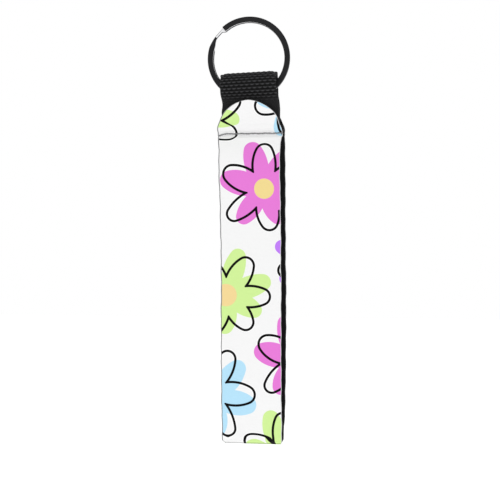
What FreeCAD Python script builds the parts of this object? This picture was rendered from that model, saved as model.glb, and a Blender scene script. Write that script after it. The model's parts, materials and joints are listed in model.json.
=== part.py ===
import FreeCAD, Part
import math
import os

from FreeCAD import Vector

# A wristlet keychain: a split ring, a folded webbing tab that hangs in it, and a neoprene strap whose
# two ends are sewn over the tab, so that the strap is a loop for the wrist.
# Millimetres. X is to the right across the strap, Y is from the printed front to the back, Z is up.
# The origin is the hang point: the middle of the ring's inner surface at its top.

# Split ring: flat wire, two turns side by side along Y
RING_OUTER_R = 16.0
WIRE_DEPTH = 2.1  # across the wire, along the ring's radius
WIRE_THICK = 1.2  # each turn, along the ring's axis
TURN_GAP = 0.1
# Degrees from +X, counterclockwise in front view
CUT_ANGLE = 130.0  # the front turn's cut end
DIVE_ANGLE = 150.0  # where the front turn starts to cross over to the rear turn
REAR_CUT_ANGLE = 152.0  # the rear turn's cut end
PRY_ANGLE = -60.0  # where the front turn bends when its end is lifted, inside the webbing eye
PRY_SLIT = 0.1  # between the lifted half turn and the rest of the wire

# Webbing tab: one strip folded over the ring
WEB_WIDTH = 22.3
WEB_THICK = 1.2
TAIL_GAP = 0.1  # between the two tails below the eye
EYE_HEIGHT = -25.2  # centre of the eye's round top
EYE_R = 5.2  # to the middle of the webbing
LEG_BEND_R = 6.0  # where the legs turn from slanting to straight down
LEG_BEND_HEIGHT = -40.2
TAIL_BELOW_STITCH = 4.0

# Neoprene laminate
STRAP_THICK = 2.2
KNIT_THICK = 0.35  # the printed face, and the lining
SEAM_THICK = 1.4  # pressed flat under the stitches
GROOVE_HALF = 0.75  # half the height of the pressed band
GROOVE_SHOULDER = 1.2  # height in which it swells back to full thickness

# Strap, side view
STITCH_HEIGHT = -43.0
HINGE_BELOW_STITCH = 0.5  # the loop's halves bend along the lower side of the stitches
HALF_LOOP = 57.9  # from there to the middle of the loop, and on to the bottom fold
SLIT = 0.3  # between pieces of strap that turn against each other
MID_GAP = 10.6  # inside the loop at its middle
FOLD_INNER_R = 0.45
LOOP_CLEAR = 0.1  # between the loop's upper ends and the webbing's tails
# The inner surface of the loop's front half between seam, middle and fold: Y and height
UPPER_SAG = [(-2.9, -49.0), (-4.75, -68.0)]
LOWER_SAG = [(-3.9, -130.0), (-1.2, -152.5)]

# Strap, front view: half widths at heights
TONGUE_HALF = 12.7
TONGUE_ROUND = 12.0  # height of the tongue's rounded end
TONGUE_TIP = -29.9
HALF_WIDTHS = [
    (12.7, -43.6),
    (12.1, -50.0),
    (11.75, -66.0),
    (11.5, -92.0),
    (11.55, -122.0),
    (11.2, -163.0),
]

# Stitches
STITCH_COUNT = 10
STITCH_LONG = 2.1
STITCH_R = 0.2

# How closely curved profiles are followed
TONGUE_SPACING = 0.8
LOOP_SPACING = 2.0
CROSSING_STEPS = 8

# Worked out from the sizes above
RING_INNER_R = RING_OUTER_R - WIRE_DEPTH
RING_HEIGHT = -RING_INNER_R
TURN_Y = (WIRE_THICK + TURN_GAP) / 2
TAIL_Y = (WEB_THICK + TAIL_GAP) / 2
WEB_FACE_Y = TAIL_Y + WEB_THICK / 2
HINGE_Y = WEB_FACE_Y + SEAM_THICK
HINGE_HEIGHT = STITCH_HEIGHT - HINGE_BELOW_STITCH
MID_HEIGHT = HINGE_HEIGHT - HALF_LOOP
FOLD_HEIGHT = MID_HEIGHT - HALF_LOOP
TAIL_END = STITCH_HEIGHT - TAIL_BELOW_STITCH
WEB_HALF_THICK = WEB_THICK / 2

os.makedirs("parts", exist_ok=True)


def save(shape, node):
    shape.exportStep("parts/" + node + ".step")


def side_point(y, z):
    return Vector(0, y, z)


def mirrored(shape):
    """The same piece on the back of the strap."""
    return shape.mirror(Vector(0, 0, 0), Vector(0, 1, 0))


def across(profile, width):
    """A closed side profile carried across the strap."""
    face = Part.Face(profile)
    face.translate(Vector(-width / 2, 0, 0))
    return face.extrude(Vector(width, 0, 0))


# --- Split ring ---


def wire_section(angle, y):
    """The wire's flat section at one angle round the ring."""
    turn = math.radians(angle)
    outward = Vector(math.cos(turn), 0, math.sin(turn))
    centre = Vector(0, y, RING_HEIGHT)
    half = Vector(0, WIRE_THICK / 2, 0)
    inner = centre + outward * RING_INNER_R
    outer = centre + outward * RING_OUTER_R
    return Part.makePolygon([inner - half, outer - half, outer + half, inner + half, inner - half])


def wire_arc(start, end, y):
    """A flat turn, clockwise in front view from start down to end."""
    face = Part.Face(wire_section(start, y))
    return face.revolve(Vector(0, 0, RING_HEIGHT), Vector(0, 1, 0), start - end)


def wire_crossing(start, end):
    """The short stretch that passes from the front turn to the rear one."""
    sections = []
    for i in range(CROSSING_STEPS + 1):
        part = i / CROSSING_STEPS
        ease = part * part * (3 - 2 * part)
        sections.append(wire_section(start + (end - start) * part, -TURN_Y + 2 * TURN_Y * ease))
    return Part.makeLoft(sections, True)


def split_ring():
    slit_angle = math.degrees(PRY_SLIT / RING_OUTER_R)
    front = wire_arc(PRY_ANGLE - slit_angle, DIVE_ANGLE - 360.0, -TURN_Y)
    crossing = wire_crossing(DIVE_ANGLE, CUT_ANGLE)
    rear = wire_arc(CUT_ANGLE, REAR_CUT_ANGLE - 360.0, TURN_Y)
    return front.fuse([crossing, rear]).removeSplitter()


def ring_free_turn():
    return wire_arc(CUT_ANGLE, PRY_ANGLE, -TURN_Y)


# --- Webbing legs: straight tail, bend, slanting leg, round eye ---

# The slanting leg is the line that touches both the eye and the bend, one on each side of it
TO_EYE = side_point(TAIL_Y + LEG_BEND_R, EYE_HEIGHT - LEG_BEND_HEIGHT)
LEG_SLANT = math.atan2(TO_EYE.z, TO_EYE.y) + math.asin((EYE_R + LEG_BEND_R) / TO_EYE.Length)
LEG_NORMAL = side_point(math.sin(LEG_SLANT), -math.cos(LEG_SLANT))
EYE_CENTRE = side_point(0, EYE_HEIGHT)
BEND_CENTRE = side_point(-TAIL_Y - LEG_BEND_R, LEG_BEND_HEIGHT)


def leg_arc(centre, radius, start, end):
    """An arc in the side view, between two angles from +Y towards +Z."""
    middle = (start + end) / 2
    points = []
    for angle in (start, middle, end):
        points.append(centre + side_point(math.cos(angle), math.sin(angle)) * radius)
    return Part.Arc(points[0], points[1], points[2]).toShape()


def leg_edges(outward, bottom):
    """The front leg from the bottom up to the eye's crown, moved outward from the webbing's middle."""
    bend_r = LEG_BEND_R - outward
    eye_r = EYE_R + outward
    bend_start = BEND_CENTRE + side_point(bend_r, 0)
    bend_end = BEND_CENTRE + LEG_NORMAL * bend_r
    eye_start = EYE_CENTRE - LEG_NORMAL * eye_r
    leg_turn = LEG_SLANT - math.pi / 2
    tail = Part.LineSegment(side_point(bend_start.y, bottom), bend_start).toShape()
    bend = leg_arc(BEND_CENTRE, bend_r, 0.0, leg_turn)
    leg = Part.LineSegment(bend_end, eye_start).toShape()
    eye = leg_arc(EYE_CENTRE, eye_r, leg_turn + math.pi, math.pi / 2)
    return [tail, bend, leg, eye]


def webbing_tab():
    outer = leg_edges(WEB_HALF_THICK, TAIL_END)
    inner = leg_edges(-WEB_HALF_THICK, TAIL_END)
    tail_cut = Part.makeLine(outer[0].Vertexes[0].Point, inner[0].Vertexes[0].Point)
    crown = Part.makeLine(outer[-1].Vertexes[-1].Point, inner[-1].Vertexes[-1].Point)
    half = across(Part.Wire(Part.__sortEdges__(outer + inner + [tail_cut, crown])), WEB_WIDTH)
    return half.fuse(mirrored(half)).removeSplitter()


# --- Strap plies in side view ---


def smooth(value):
    """0 to 1 with level ends."""
    value = min(max(value, 0.0), 1.0)
    return value * value * (3 - 2 * value)


def strap_thickness(height):
    """The laminate, pressed thin along the stitches with a rounded shoulder on each side."""
    groove_middle = (STITCH_HEIGHT + HINGE_HEIGHT) / 2
    away = (abs(height - groove_middle) - GROOVE_HALF) / GROOVE_SHOULDER
    return SEAM_THICK + (STRAP_THICK - SEAM_THICK) * smooth(away)


def lining_depth(height):
    return KNIT_THICK


def foam_depth(height):
    return strap_thickness(height) - KNIT_THICK


def no_depth(height):
    return 0.0


# Each ply lies between two depths from the strap's inner surface
PLIES = {
    "lining": (no_depth, lining_depth),
    "foam_core": (lining_depth, foam_depth),
    "print_face": (foam_depth, strap_thickness),
}


def offset_line(path, depth, spacing):
    """A smooth line along a path, moved outward from the loop by a depth that depends on height."""
    count = max(8, round(path.Length / spacing))
    points = []
    for i in range(count + 1):
        edge_length = path.Length * i / count
        along = path.getParameterByLength(edge_length)
        point = path.valueAt(along)
        direction = path.tangentAt(along)
        outward = side_point(direction.z, -direction.y)
        points.append(point + outward * depth(point.z))
    line = Part.BSplineCurve()
    line.interpolate(points)
    return line.toShape()


def ply_profile(path, near, far, spacing):
    inner = offset_line(path, near, spacing)
    outer = offset_line(path, far, spacing)
    starts = Part.makeLine(inner.valueAt(inner.FirstParameter), outer.valueAt(outer.FirstParameter))
    ends = Part.makeLine(inner.valueAt(inner.LastParameter), outer.valueAt(outer.LastParameter))
    return Part.Wire([inner, ends, outer, starts])


def as_one_edge(edges):
    """Edges that meet smoothly, as one curve through points spaced along them."""
    points = Part.Wire(edges).discretize(Distance=TONGUE_SPACING)
    line = Part.BSplineCurve()
    line.interpolate(points)
    return line.toShape()


def tongue_path():
    """The strap's inner surface over the webbing's front leg, downward to the seam's lower edge."""
    edges = leg_edges(WEB_HALF_THICK, HINGE_HEIGHT + SLIT / 2)[:3]
    upward = as_one_edge(edges)
    line = upward.Curve
    line.reverse()
    return line.toShape()


def loop_line():
    """The strap's inner surface in the front half of the loop, from the seam down to the fold."""
    seam = (-WEB_FACE_Y - LOOP_CLEAR, HINGE_HEIGHT)
    middle = (-MID_GAP / 2, MID_HEIGHT)
    fold = (-FOLD_INNER_R, FOLD_HEIGHT)
    points = [side_point(y, z) for y, z in [seam, *UPPER_SAG, middle, *LOWER_SAG, fold]]
    down = side_point(0, -1)
    line = Part.BSplineCurve()
    line.interpolate(Points=points, InitialTangent=down, FinalTangent=down)
    return line


def loop_path(top, bottom):
    """The part of the loop's inner line between two heights."""
    line = loop_line()
    ends = []
    for height in (top, bottom):
        low, high = line.FirstParameter, line.LastParameter
        for _ in range(50):
            middle = (low + high) / 2
            if line.value(middle).z > height:
                low = middle
            else:
                high = middle
        ends.append(middle)
    return line.toShape(ends[0], ends[1])


def fold_ply(near, far):
    """The bottom fold: a half ring between two depths, from slit to slit."""
    inner_r = FOLD_INNER_R + near(FOLD_HEIGHT)
    outer_r = FOLD_INNER_R + far(FOLD_HEIGHT)
    centre = side_point(0, FOLD_HEIGHT)
    edges = []
    for radius in (inner_r, outer_r):
        dip = math.asin(SLIT / 2 / radius)
        edges.append(leg_arc(centre, radius, math.pi + dip, 2 * math.pi - dip))
    inner, outer = edges
    front = Part.makeLine(inner.Vertexes[0].Point, outer.Vertexes[0].Point)
    back = Part.makeLine(inner.Vertexes[1].Point, outer.Vertexes[1].Point)
    return Part.Wire(Part.__sortEdges__([inner, outer, front, back]))


# --- Strap outline in front view ---


def strap_outline():
    """The strap as cut: a rounded tongue on top, then two sides that draw in slightly."""
    reach = 20.0  # past the strap along Y, so that the cutter goes right through
    tongue_base = TONGUE_TIP - TONGUE_ROUND
    right_points = [Vector(TONGUE_HALF, -reach, tongue_base)]
    for half, height in HALF_WIDTHS:
        right_points.append(Vector(half, -reach, height))
    left_points = [Vector(-point.x, point.y, point.z) for point in right_points]
    sides = []
    for points in (right_points, left_points):
        line = Part.BSplineCurve()
        line.interpolate(Points=points, InitialTangent=Vector(0, 0, -1), FinalTangent=Vector(0, 0, -1))
        sides.append(line.toShape())
    tongue_middle = Vector(0, -reach, tongue_base)
    ellipse = Part.Ellipse(right_points[0], Vector(0, -reach, TONGUE_TIP), tongue_middle)
    tip = ellipse.toShape(0.0, math.pi)
    bottom = Part.makeLine(left_points[-1], right_points[-1])
    outline = Part.Face(Part.Wire(Part.__sortEdges__(sides + [tip, bottom])))
    return outline.extrude(Vector(0, 2 * reach, 0))


# --- Stitches ---


def stitch_row(side):
    """Short round threads across the seam, with rounded ends, on the front (-1) or the back (+1)."""
    pitch = 2 * TONGUE_HALF / STITCH_COUNT
    y = side * (HINGE_Y + STITCH_R)
    stitches = []
    for i in range(STITCH_COUNT):
        middle = -TONGUE_HALF + pitch * (i + 0.5)
        start = Vector(middle - STITCH_LONG / 2 + STITCH_R, y, STITCH_HEIGHT)
        straight = STITCH_LONG - 2 * STITCH_R
        thread = Part.makeCylinder(STITCH_R, straight, start, Vector(1, 0, 0))
        first = Part.makeSphere(STITCH_R, start)
        last = Part.makeSphere(STITCH_R, start + Vector(straight, 0, 0))
        stitches.append(thread.fuse([first, last]).removeSplitter())
    return Part.makeCompound(stitches)


# --- Write the pieces ---

save(split_ring(), "split_ring")
save(ring_free_turn(), "ring_free_turn")
save(webbing_tab(), "webbing_tab")
save(stitch_row(-1), "seam_needle_thread")
save(stitch_row(1), "seam_bobbin_thread")

cutter = strap_outline()
full_width = 2 * TONGUE_HALF + 2
stretches = {
    "tongue": tongue_path(),
    "upper": loop_path(HINGE_HEIGHT - SLIT / 2, MID_HEIGHT + SLIT / 2),
    "lower": loop_path(MID_HEIGHT - SLIT / 2, FOLD_HEIGHT + SLIT / 2),
}
for ply, (near, far) in PLIES.items():
    for stretch, path in stretches.items():
        spacing = TONGUE_SPACING if stretch == "tongue" else LOOP_SPACING
        piece = across(ply_profile(path, near, far, spacing), full_width).common(cutter)
        save(piece, "front_" + stretch + "_" + ply)
        save(mirrored(piece), "back_" + stretch + "_" + ply)
    save(across(fold_ply(near, far), full_width).common(cutter), "bottom_fold_" + ply)
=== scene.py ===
import json
import math
import random
from collections import namedtuple

import bmesh
import bpy
import numpy as np
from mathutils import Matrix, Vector


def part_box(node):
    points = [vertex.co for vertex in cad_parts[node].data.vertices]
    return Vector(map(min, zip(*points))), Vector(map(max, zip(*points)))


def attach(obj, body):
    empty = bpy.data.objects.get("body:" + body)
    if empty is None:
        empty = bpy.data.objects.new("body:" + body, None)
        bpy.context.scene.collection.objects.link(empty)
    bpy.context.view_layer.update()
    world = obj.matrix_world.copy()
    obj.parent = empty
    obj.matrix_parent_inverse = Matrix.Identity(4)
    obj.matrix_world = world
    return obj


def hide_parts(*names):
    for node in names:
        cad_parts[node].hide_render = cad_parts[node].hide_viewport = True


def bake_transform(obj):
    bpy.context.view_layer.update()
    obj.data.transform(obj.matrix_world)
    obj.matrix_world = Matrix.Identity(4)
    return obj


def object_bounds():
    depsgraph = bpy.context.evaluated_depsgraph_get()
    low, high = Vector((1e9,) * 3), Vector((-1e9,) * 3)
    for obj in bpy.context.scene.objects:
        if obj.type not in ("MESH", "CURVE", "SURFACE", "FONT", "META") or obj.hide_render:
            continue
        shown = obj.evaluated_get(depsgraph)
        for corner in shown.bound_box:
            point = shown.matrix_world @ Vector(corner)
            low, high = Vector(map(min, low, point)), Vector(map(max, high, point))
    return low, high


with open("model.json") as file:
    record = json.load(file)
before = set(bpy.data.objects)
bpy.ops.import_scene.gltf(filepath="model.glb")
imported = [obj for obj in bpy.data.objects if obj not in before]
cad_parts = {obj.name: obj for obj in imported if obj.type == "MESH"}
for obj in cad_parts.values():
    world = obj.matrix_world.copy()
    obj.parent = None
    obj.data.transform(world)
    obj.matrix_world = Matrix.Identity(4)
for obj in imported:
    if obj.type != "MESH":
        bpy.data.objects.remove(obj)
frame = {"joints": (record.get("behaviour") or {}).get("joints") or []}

# The looks of a wristlet keychain: ring, webbing tab, neoprene loop with a daisy print, and its stitches.
# Shapes are worked out in millimetres and turned into metres when a mesh is made.
MM = 0.001
CLOSE = 1e-6  # places nearer than this count as one
CAD_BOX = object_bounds()
random.seed(7)


def joint_place(name):
    """Where a joint's axis crosses the side view: (y, z)."""
    joint = next(j for j in frame["joints"] if j["name"] == name)
    return joint["pos_m"][1] / MM, joint["pos_m"][2] / MM


def node_box(node):
    low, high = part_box(node)
    return low / MM, high / MM


SEAM_Y, SEAM_Z = joint_place("loop_open")
MIDDLE_Y, MIDDLE_Z = joint_place("front_bend")
FOLD_Y, FOLD_Z = joint_place("fold_front_bend")
RING_LOW, RING_HIGH = node_box("split_ring")
TAB_LOW, TAB_HIGH = node_box("webbing_tab")
TONGUE_LOW, TONGUE_HIGH = node_box("front_tongue_print_face")
THREAD_LOW, THREAD_HIGH = node_box("seam_needle_thread")

# Ring
RING_R = RING_HIGH.x
RING_CENTRE = RING_HIGH.z - RING_R
WIRE_DEEP = 2.1
WIRE_THICK = 1.2
TURN_Y = RING_HIGH.y - WIRE_THICK / 2
WIRE_EDGE = 0.2  # rounding of the wire's corners
WIRE_CROWN = 0.05  # how far its broad sides bulge
WIRE_STEPS = 6
WALL_SHARE = 0.9  # where its inner wall starts, as a share of half its depth
CUT_ANGLE = 130.0  # the front turn's free end, in degrees from +x towards +z
TAPER_ANGLE = 163.0  # where the wire starts to narrow towards its crossing
BARE_ANGLE = 147.5  # where its finish is worn off
PRY_ANGLE = -60.0  # where the half turn that lifts is hinged
REAR_END = 152.0  # the rear turn's cut end
SLIT_ANGLE = 0.3  # the gap behind the half turn that lifts
CROSSING_LEAD = 4.0  # the wire starts to cross this much before its bare stretch
CUT_TAPER = 6.0  # and widens again over this much before the free end
END_TAPER = 18.0  # degrees over which the rear turn's end narrows
CROSSING_NARROWING = 1.05  # the wire is ground thinner where it crosses from one turn to the other
CROSSING_RECESS = 0.35
REAR_INSET = 0.17  # the rear turn lies a little inside the front one
ANGLE_STEP = 2.0

# Webbing
WEB_THICK = 1.2
WEB_HALF = TAB_HIGH.x
WEB_GROUND = 0.15  # the weave's ground lies this far inside each face
WEB_EDGE = 0.44  # rounding of its edges
WEB_COLUMNS = 96
WEB_ROWS = 7  # mesh rows to a rib
TAIL_Y = 0.65
EYE_R = TAB_HIGH.y - WEB_THICK / 2
EYE_Z = TAB_HIGH.z - TAB_HIGH.y
LEG_BEND_R = 6.0
LEG_BEND_Z = -40.2
RIB_PITCH = 1.13
RIB_HEIGHT = 0.42
BUMP_PITCH = 2.0
BUMP_VALLEY = 0.45  # height between bumps, as a share of theirs
ARCH_REACH = 0.25  # how far each bump arches along the webbing
SELVEDGE = 1.1  # plain woven border on each side
SELVEDGE_SOFT = 0.8
EDGE_WAVE = 0.05  # the edges wave in and out with the ribs
STRAND_PITCH = 0.24
STRAND_SLANT = 0.8
VALLEY_LIGHT = 0.35  # painted light between bumps, as a share of theirs
CROWN_POWER = 1.6  # narrows the painted highlight to the ribs' crowns
PRESSED_HIGH = -28.2  # the weave is pressed flatter, and its painted highlights fade to an even painted shade, from this height down to the next
PRESSED_LOW = -31.0
PRESSED_SHARE = 0.75
PRESSED_PAINTED_LIGHT = 0.25
WEB_RISE = 0.034  # the folded top sits a little higher on its right
RISE_FROM = -36.0
RISE_OVER = 12.0
WEB_YAW = 0.12  # and the eye is turned a little, its rear leg to the left
WEB_SHIFT = 0.12
WEB_TUCK = 0.7  # its front leg's left edge is pulled in
TUCK_FROM = -35.0
TUCK_OVER = 4.0
TUCK_DEEP = 2.0

# Strap
STRAP_THICK = 2.2
SEAM_THICK = 1.4
KNIT_THICK = 0.35
GROOVE_HALF = 0.75
GROOVE_SHOULDER = 1.2
STITCH_Z = (THREAD_LOW.z + THREAD_HIGH.z) / 2
ROOT_R = SEAM_THICK - 0.05  # the loop's ends are round about the hinge line, inside the tongue
FOLD_INNER_R = -FOLD_Y - STRAP_THICK
UPPER_SAG = [(-2.9, -49.0), (-4.75, -68.0)]
LOWER_SAG = [(-3.9, -130.0), (-1.2, -152.5)]
TONGUE_HALF = TONGUE_HIGH.x
TONGUE_ROUND = 12.0
TONGUE_BASE = TONGUE_HIGH.z - TONGUE_ROUND
TONGUE_POINT = 0.56  # a little more pointed than an ellipse, which is 0.5
HALF_WIDTHS = [(-43.0, 12.7), (-50.0, 12.1), (-66.0, 11.75), (-92.0, 11.5), (-122.0, 11.6), (-163.0, 11.65)]
SPLIT_Z = -130.0  # where the strap's upper pieces meet its lower ones, away from every bend
BOTTOM_CORNER = 0.7
HEM = 0.22  # the cut edge's border on the faces, greyed with painted shade
PLY_COLUMNS = 24
PLY_EDGE = 0.2  # rounding of a ply's cut edge, at most
PLY_ROUND = 0.98  # and at most this share of half its thickness
THINNEST_HALF = 0.02
NARROWEST_HALF = 0.3
SAMPLE_HALF = 10.0  # any width does where only the order of a section's points counts
SPLINE_STEPS = 60
STATION_STEP = 0.55
ALONG = 6  # where a station holds its length from the stitches
TONGUE_GAP = 0.03  # between the webbing and a tongue
TONGUE_STEPS = 9
TIP_STEPS = 30
TIP_REACH = 0.985  # the mesh stops just short of the tongue's very tip
TONGUE_SLANT = 1.03  # length along a tongue for each millimetre of height
SLOPE_STEP = 0.05  # a slope is taken this far above and below a place
PRINT_MARGIN = 1.0
CUT_WAVES = [(0.06, 0.9, 2.0), (0.05, 0.37, 5.0), (0.015, 2.4, 0.0)]  # size, rate and start

# The limp parts hang a little to the right of the ring's middle: height and shift
LEAN = [(-165.0, 1.45), (-101.0, 2.0), (-70.0, 1.55), (-42.0, 1.0), (-33.0, 1.0), (-30.5, 0.75),
        (-28.0, 0.3), (-19.0, 0.05)]
TONGUE_LEAN = [(-43.5, 1.0), (-29.9, 0.45)]
# The rear half lies a little further right than the front one near its ends
REAR_LEAN = [(-162.0, 0.0), (-147.0, 0.4), (-101.0, 0.0), (-60.0, 0.1), (-50.0, 0.1), (-44.0, 0.0)]
# The front half's right edge is cut in below the seam, and the front tongue's above it
FRONT_TRIM = [(-165.0, 0.1), (-101.0, 0.0), (-80.0, 0.0), (-60.0, 0.25), (-48.0, 0.6), (-44.0, 0.25)]
TONGUE_TRIM = [(-43.5, 0.25), (-41.5, 0.45), (-39.2, 0.85), (-37.0, 0.5), (-34.5, 0.0)]

# Threads
STITCHES = 12
ROW_STEPS = 240
ROW_PAST = 0.1  # the row is this much longer than the CAD thread at each end
ROW_LIFT = 0.02
STITCH_LIFT = 0.16
STITCH_POWER = 0.6
ROW_SINK = 0.6  # the row's left end is sewn a little lower
SINK_FROM = 2.6
SINK_OVER = 2.4
ROW_WAVES = [(0.05, 1.3, 0.0), (0.03, 3.4, 1.0)]  # size, rate and start
THREAD_R = 0.2
THREAD_SWELL = 0.06
THREAD_SIDES = 8
HAIRS = 7
HAIR_IN = 0.2  # the hairs start this far inside the row's right end
HAIR_Y = -2.2
HAIR_UP = 2.2
HAIR_REACH = (0.3, 0.7)
HAIR_STRAY = 0.1
HAIR_CURL = (-0.3, 0.5)
HAIR_SHARES = (0, 0.35, 0.7, 1)
HAIR_RADII = [0.03, 0.03, 0.025, 0.015]

# Setting: the camera in degrees and millimetres, the light and floor in metres
CAMERA_TURN = 9.5
CAMERA_AWAY = 450.0
CAMERA_Z = -87.5
CAMERA_RIGHT = 0.385
CAMERA_LENS = 84.24
CAMERA_SENSOR = 36.0
KEY_PLACE = (-0.25, -0.5, 0.35)
KEY_AIM = (0, 0, -0.07)
KEY_SIZE = 0.35
KEY_POWER = 0.06
FLOOR_HALF = 1.5
FLOOR_DROP = 0.04
FLOOR_GLOW = 0.3


# --- Curves in the side view ---


def smooth(value):
    """An even S from 0 to 1, flat at both ends and past them."""
    value = np.clip(value, 0.0, 1.0)
    return value * value * (3 - 2 * value)


def lean(z, shifts):
    """A shift at a height, from a list of (height, shift)."""
    return float(np.interp(z, [k[0] for k in shifts], [k[1] for k in shifts]))


def spaced(points, step):
    """The same line with evenly spaced points, about a step apart."""
    points = np.array(points, float)
    lengths = np.concatenate([[0], np.cumsum(np.linalg.norm(np.diff(points, axis=0), axis=1))])
    count = max(2, round(lengths[-1] / step))
    places = np.linspace(0, lengths[-1], count + 1)
    return np.stack([np.interp(places, lengths, points[:, k]) for k in range(points.shape[1])], axis=1)


def downward_spline(points):
    """A smooth line through (y, z) points that starts and ends straight down."""
    p = np.array(points, float)
    gaps = np.linalg.norm(np.diff(p, axis=0), axis=1)
    count = len(p)
    system = np.eye(count)
    right = np.zeros((count, 2))
    right[0] = right[-1] = (0, -1)
    for i in range(1, count - 1):
        before, after = gaps[i - 1], gaps[i]
        system[i, i - 1:i + 2] = (1 / before, 2 * (1 / before + 1 / after), 1 / after)
        right[i] = 3 * ((p[i] - p[i - 1]) / before**2 + (p[i + 1] - p[i]) / after**2)
    slopes = np.linalg.solve(system, right)
    line = []
    for i, gap in enumerate(gaps):
        for t in np.linspace(0, 1, SPLINE_STEPS, endpoint=False):
            start = (1 + 2 * t) * (1 - t)**2 * p[i] + t * (1 - t)**2 * gap * slopes[i]
            end = t * t * (3 - 2 * t) * p[i + 1] + t * t * (t - 1) * gap * slopes[i + 1]
            line.append(start + end)
    line.append(p[-1])
    return line


def arc(centre, radius, start, end, steps=24):
    """Points on an arc, its angles in radians from +y towards +z."""
    angles = np.linspace(start, end, steps + 1)
    return [(centre[0] + radius * math.cos(a), centre[1] + radius * math.sin(a)) for a in angles]


def leg_line(outward, bottom):
    """The tab's front leg from its tail up to the crown of its eye, moved outward from its middle."""
    reach = (TAIL_Y + LEG_BEND_R, EYE_Z - LEG_BEND_Z)
    slant = math.atan2(reach[1], reach[0]) + math.asin((EYE_R + LEG_BEND_R) / math.hypot(*reach))
    turn = slant - math.pi / 2
    bend = arc((-TAIL_Y - LEG_BEND_R, LEG_BEND_Z), LEG_BEND_R - outward, 0.0, turn)
    eye = arc((0.0, EYE_Z), EYE_R + outward, turn + math.pi, math.pi / 2)
    return [(bend[0][0], bottom), *bend, *eye]


def loop_line():
    """The strap's inner surface: in at the front seam, down, round the fold and up to the rear seam."""
    hinge = (SEAM_Y, SEAM_Z)
    root = arc(hinge, ROOT_R, math.pi / 2, 0.0, steps=8)
    front = downward_spline(
        [root[-1], *UPPER_SAG, (MIDDLE_Y, MIDDLE_Z), *LOWER_SAG, (-FOLD_INNER_R, FOLD_Z)]
    )
    fold = arc((0.0, FOLD_Z), FOLD_INNER_R, math.pi, 1.5 * math.pi, steps=8)
    half = [*root[:-1], *front[:-1], *fold]
    return half + [(-y, z) for y, z in reversed(half[:-1])]


def half_width(z):
    """Half the strap's width below the seam."""
    heights = [k[0] for k in reversed(HALF_WIDTHS)]
    widths = [k[1] for k in reversed(HALF_WIDTHS)]
    width = float(np.interp(z, heights, widths))
    lowest = FOLD_Z - FOLD_INNER_R - STRAP_THICK
    into_corner = max(0.0, 1 - (z - lowest) / BOTTOM_CORNER)
    return width - BOTTOM_CORNER * (1 - math.sqrt(max(0.0, 1 - into_corner**2)))


def strap_thickness(z):
    """The strap's thickness at a height: pressed thin under the stitches."""
    middle = (STITCH_Z + SEAM_Z) / 2
    away = (abs(z - middle) - GROOVE_HALF) / GROOVE_SHOULDER
    return SEAM_THICK + (STRAP_THICK - SEAM_THICK) * float(smooth(away))


def waves(place, kinds, turn=1.0):
    """A small wander: the sum of sine waves, each given as (size, rate, start)."""
    return sum(size * math.sin(rate * place + start * turn) for size, rate, start in kinds)


# --- Meshes ---


def rounded_section(half_wide, half_deep, radius, wide_steps, corner_steps=3, hem=0.0):
    """A rounded rectangle as (across, depth, on its end) points, starting on its far face. A hem is a
    narrow stretch of that face, next to each end, that counts as its end."""
    flat = half_wide - radius
    inner = flat - hem
    points = [(-inner + 2 * inner * i / wide_steps, half_deep, hem > 0 and i in (0, wide_steps))
              for i in range(wide_steps + 1)]
    if hem:
        points = [(-flat, half_deep, True), *points, (flat, half_deep, True)]
    for side, first in ((1, 90.0), (-1, 270.0)):
        for top, begin in ((side, first), (-side, first - 90.0)):
            for k in range(corner_steps + 1):
                turn = math.radians(begin - 90.0 * k / corner_steps)
                across = side * flat + radius * math.cos(turn)
                depth = top * (half_deep - radius) + radius * math.sin(turn)
                points.append((across, depth, True))
        if side == 1:
            points += [(flat - 2 * flat * i / wide_steps, -half_deep, False) for i in range(1, wide_steps)]
    return without_repeats(points)


def without_repeats(points):
    kept = []
    for point in points:
        if not kept or math.dist(point[:2], kept[-1][:2]) > CLOSE:
            kept.append(point)
    if math.dist(kept[0][:2], kept[-1][:2]) < CLOSE:
        kept.pop()
    return kept


def finish_mesh(name, verts, faces, materials, face_materials=None, uvs=None):
    mesh = bpy.data.meshes.new(name)
    mesh.from_pydata([tuple(c * MM for c in v) for v in verts], [], faces)
    for material in materials:
        mesh.materials.append(material)
    mesh.polygons.foreach_set("use_smooth", [True] * len(mesh.polygons))
    if face_materials:
        mesh.polygons.foreach_set("material_index", face_materials)
    if uvs is not None:
        layer = mesh.uv_layers.new(name="strap")
        for loop in mesh.loops:
            layer.data[loop.index].uv = uvs[loop.vertex_index]
    mesh.validate()
    piece = bpy.data.objects.new(name, mesh)
    bpy.context.scene.collection.objects.link(piece)
    return piece


def sweep(name, rings, materials, ring_numbers=None, uvs=None, row_numbers=None):
    """A closed solid through rings of points, with a flat cap on each end. Material numbers go round the
    ring, the same on every row or listed row by row."""
    count = len(rings[0])
    row_numbers = row_numbers or [ring_numbers or [0] * count] * len(rings)
    verts = [point for ring in rings for point in ring]
    faces, numbers = [], []
    for row in range(len(rings) - 1):
        for k in range(count):
            after = (k + 1) % count
            low, high = row * count, (row + 1) * count
            faces.append((low + k, low + after, high + after, high + k))
            numbers.append(row_numbers[row][k])
    faces.append(tuple(reversed(range(count))))
    faces.append(tuple(range(len(verts) - count, len(verts))))
    numbers += [numbers[0], numbers[-1]]
    piece = finish_mesh(name, verts, faces, materials, numbers, uvs)
    face_outward(piece)
    return piece


def face_outward(piece):
    """Turns every face of a closed mesh outward, and keeps its caps' edges sharp."""
    work = bmesh.new()
    work.from_mesh(piece.data)
    bmesh.ops.recalc_face_normals(work, faces=work.faces)
    for face in work.faces:
        if len(face.verts) > 4:
            for edge in face.edges:
                edge.smooth = False
    work.to_mesh(piece.data)
    work.free()


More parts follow.
